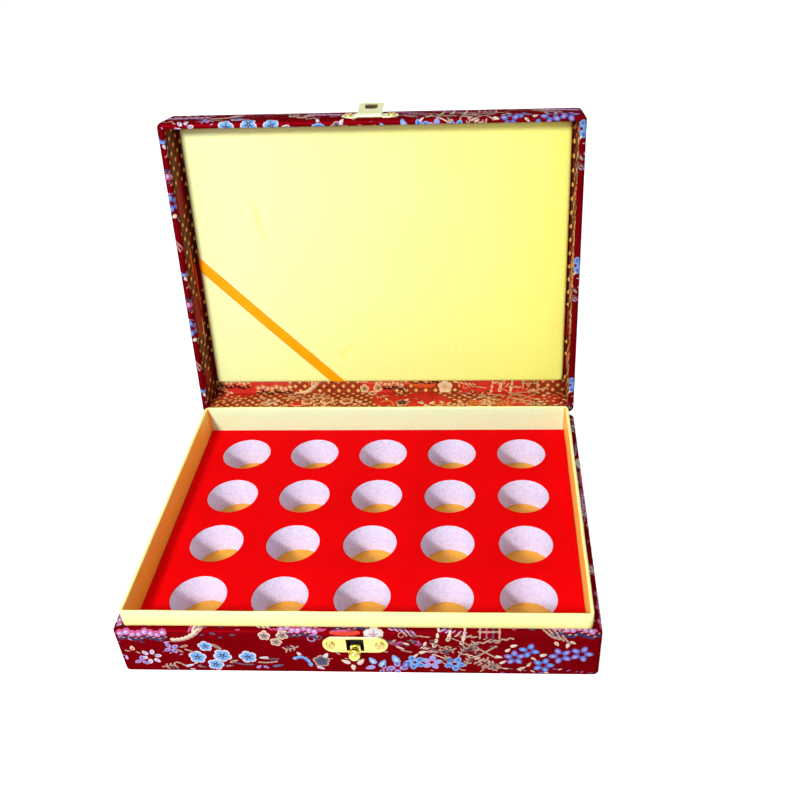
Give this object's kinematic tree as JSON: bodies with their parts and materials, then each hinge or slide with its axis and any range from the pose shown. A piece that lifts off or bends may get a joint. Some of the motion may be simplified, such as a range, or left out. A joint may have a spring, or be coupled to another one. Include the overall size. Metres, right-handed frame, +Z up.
{
  "type": "brocade keepsake box",
  "caption": "Cloth-covered box with a hinged lid, a satin collar, a foam insert with rows of round holes, and a brass hasp.",
  "frame": {"origin": "centre of the flat face under the base, on which the box stands", "axes": "+X to the right along the hinge, +Y to the back where the hinge is, +Z up"},
  "size_m": [0.26, 0.2653, 0.2305],
  "materials": {
    "brocade": "satin",
    "lining_brocade": "satin",
    "lemon_satin": "satin",
    "yellow_satin": "satin",
    "orange_ribbon": "satin",
    "red_flock": "matte",
    "white_foam": "matte",
    "grey_board": "matte",
    "backing_paper": "matte",
    "brass": "satin"
  },
  "bodies": {
    "base": {"base_bottom_paper": "backing_paper", "base_bottom_board": "grey_board", "base_front_wall": "grey_board", "base_back_wall": "grey_board", "base_left_wall": "grey_board", "base_right_wall": "grey_board", "base_brocade_cover": "brocade", "floor_lining": "yellow_satin", "collar_front": "grey_board", "collar_back": "grey_board", "collar_left": "grey_board", "collar_right": "grey_board", "collar_satin": "lemon_satin", "foam_insert": "white_foam", "flocked_face": "red_flock", "hinge_cloth_base": "brocade", "catch_plate": "brass", "catch_knob": "brass", "catch_screws": "brass"},
    "lid": {"lid_top_board": "grey_board", "lid_front_wall": "grey_board", "lid_back_wall": "grey_board", "lid_left_wall": "grey_board", "lid_right_wall": "grey_board", "lid_brocade_cover": "brocade", "lid_side_lining": "lining_brocade", "hinge_lining": "lining_brocade", "panel_card": "grey_board", "satin_panel": "lemon_satin", "ribbon": "orange_ribbon", "hinge_cloth_lid": "brocade", "hasp_plate": "brass", "hasp_screws": "brass", "hasp_pin": "brass"},
    "flap": {"hasp_flap": "brass"}
  },
  "joints": [
    {"name": "lid_hinge", "type": "hinge", "parent": "base", "child": "lid", "pos_m": [0, 0.0985, 0.0333], "axis": [-1, 0, 0], "range_deg": [-99, 0]},
    {"name": "flap_hinge", "type": "hinge", "parent": "lid", "child": "flap", "pos_m": [0, 0.13152, 0.22899], "axis": [-1, 0, 0], "range_deg": [-167.69, 0]}
  ]
}
